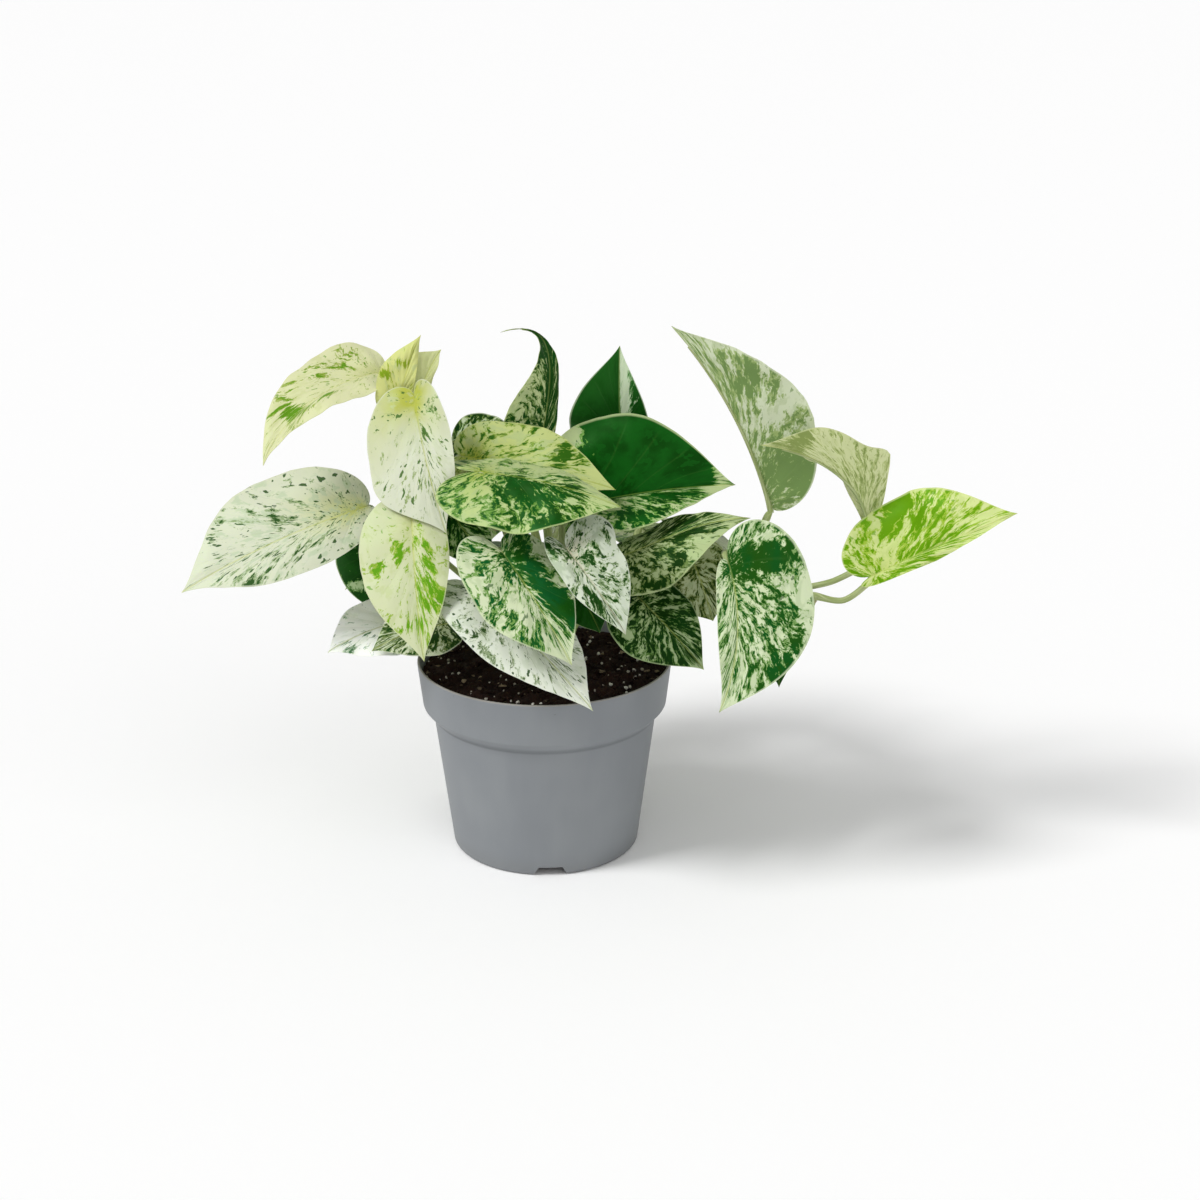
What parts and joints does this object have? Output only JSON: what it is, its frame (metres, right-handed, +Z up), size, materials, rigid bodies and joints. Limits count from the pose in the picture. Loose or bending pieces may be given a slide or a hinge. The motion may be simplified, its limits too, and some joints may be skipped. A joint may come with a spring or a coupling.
{
  "type": "potted marble queen pothos",
  "caption": "Vining aroid house plant with marbled cream and green heart-shaped leaves on long petioles, rooted in the soil of a round tapered nursery pot.",
  "frame": {"origin": "middle of the pot's foot, on the surface that it stands on; the flat underside of the pot's base is 2 mm above it", "axes": "+Z up; +X to the right of somebody who faces the plant, along its longest extent; +Y away from them"},
  "size_m": [0.3722, 0.2033, 0.2543],
  "materials": {
    "pot": "grey satin moulded plastic",
    "soil": "dark moist potting mix with white grains",
    "stem": "fresh green stem, slightly glossy",
    "leaf_cream": "waxy blade, cream with few green marks",
    "leaf_lime": "waxy young blade, yellow-green",
    "leaf_marbled": "waxy blade, cream and green marbling",
    "leaf_deep": "glossy blade, mostly deep green"
  },
  "bodies": {
    "root": {"pot": "pot", "soil": "soil", "stem_left_high": "stem", "leaf_left_high_1": "leaf_cream", "leaf_left_high_2": "leaf_lime", "leaf_left_high_3": "leaf_lime", "leaf_left_high_4": "leaf_cream", "leaf_left_high_5": "leaf_deep", "stem_left_low": "stem", "leaf_left_low_1": "leaf_cream", "leaf_left_low_2": "leaf_cream", "leaf_left_low_3": "leaf_deep", "leaf_left_low_4": "leaf_marbled", "leaf_left_low_5": "leaf_marbled", "stem_front_left": "stem", "leaf_front_left_1": "leaf_marbled", "leaf_front_left_2": "leaf_cream", "stem_middle": "stem", "leaf_middle_1": "leaf_marbled", "leaf_middle_2": "leaf_lime", "leaf_middle_3": "leaf_cream", "leaf_middle_4": "leaf_deep", "stem_crown": "stem", "leaf_crown_1": "leaf_deep", "leaf_crown_2": "leaf_deep", "leaf_crown_3": "leaf_deep", "stem_front_right": "stem", "leaf_front_right_1": "leaf_marbled", "leaf_front_right_2": "leaf_deep", "leaf_front_right_3": "leaf_deep", "stem_long_right": "stem", "leaf_long_right_1": "leaf_cream", "leaf_long_right_2": "leaf_marbled", "leaf_long_right_3": "leaf_deep", "leaf_long_right_4": "leaf_cream", "leaf_long_right_5": "leaf_cream", "leaf_long_right_6": "leaf_lime", "stem_back_left": "stem", "leaf_back_left_1": "leaf_cream", "leaf_back_left_2": "leaf_marbled", "leaf_back_left_3": "leaf_marbled", "leaf_back_left_4": "leaf_deep", "stem_back_middle": "stem", "leaf_back_middle_1": "leaf_lime", "leaf_back_middle_2": "leaf_marbled", "leaf_back_middle_3": "leaf_cream", "stem_back_right": "stem", "leaf_back_right_1": "leaf_cream", "leaf_back_right_2": "leaf_marbled", "leaf_back_right_3": "leaf_deep"}
  },
  "joints": []
}
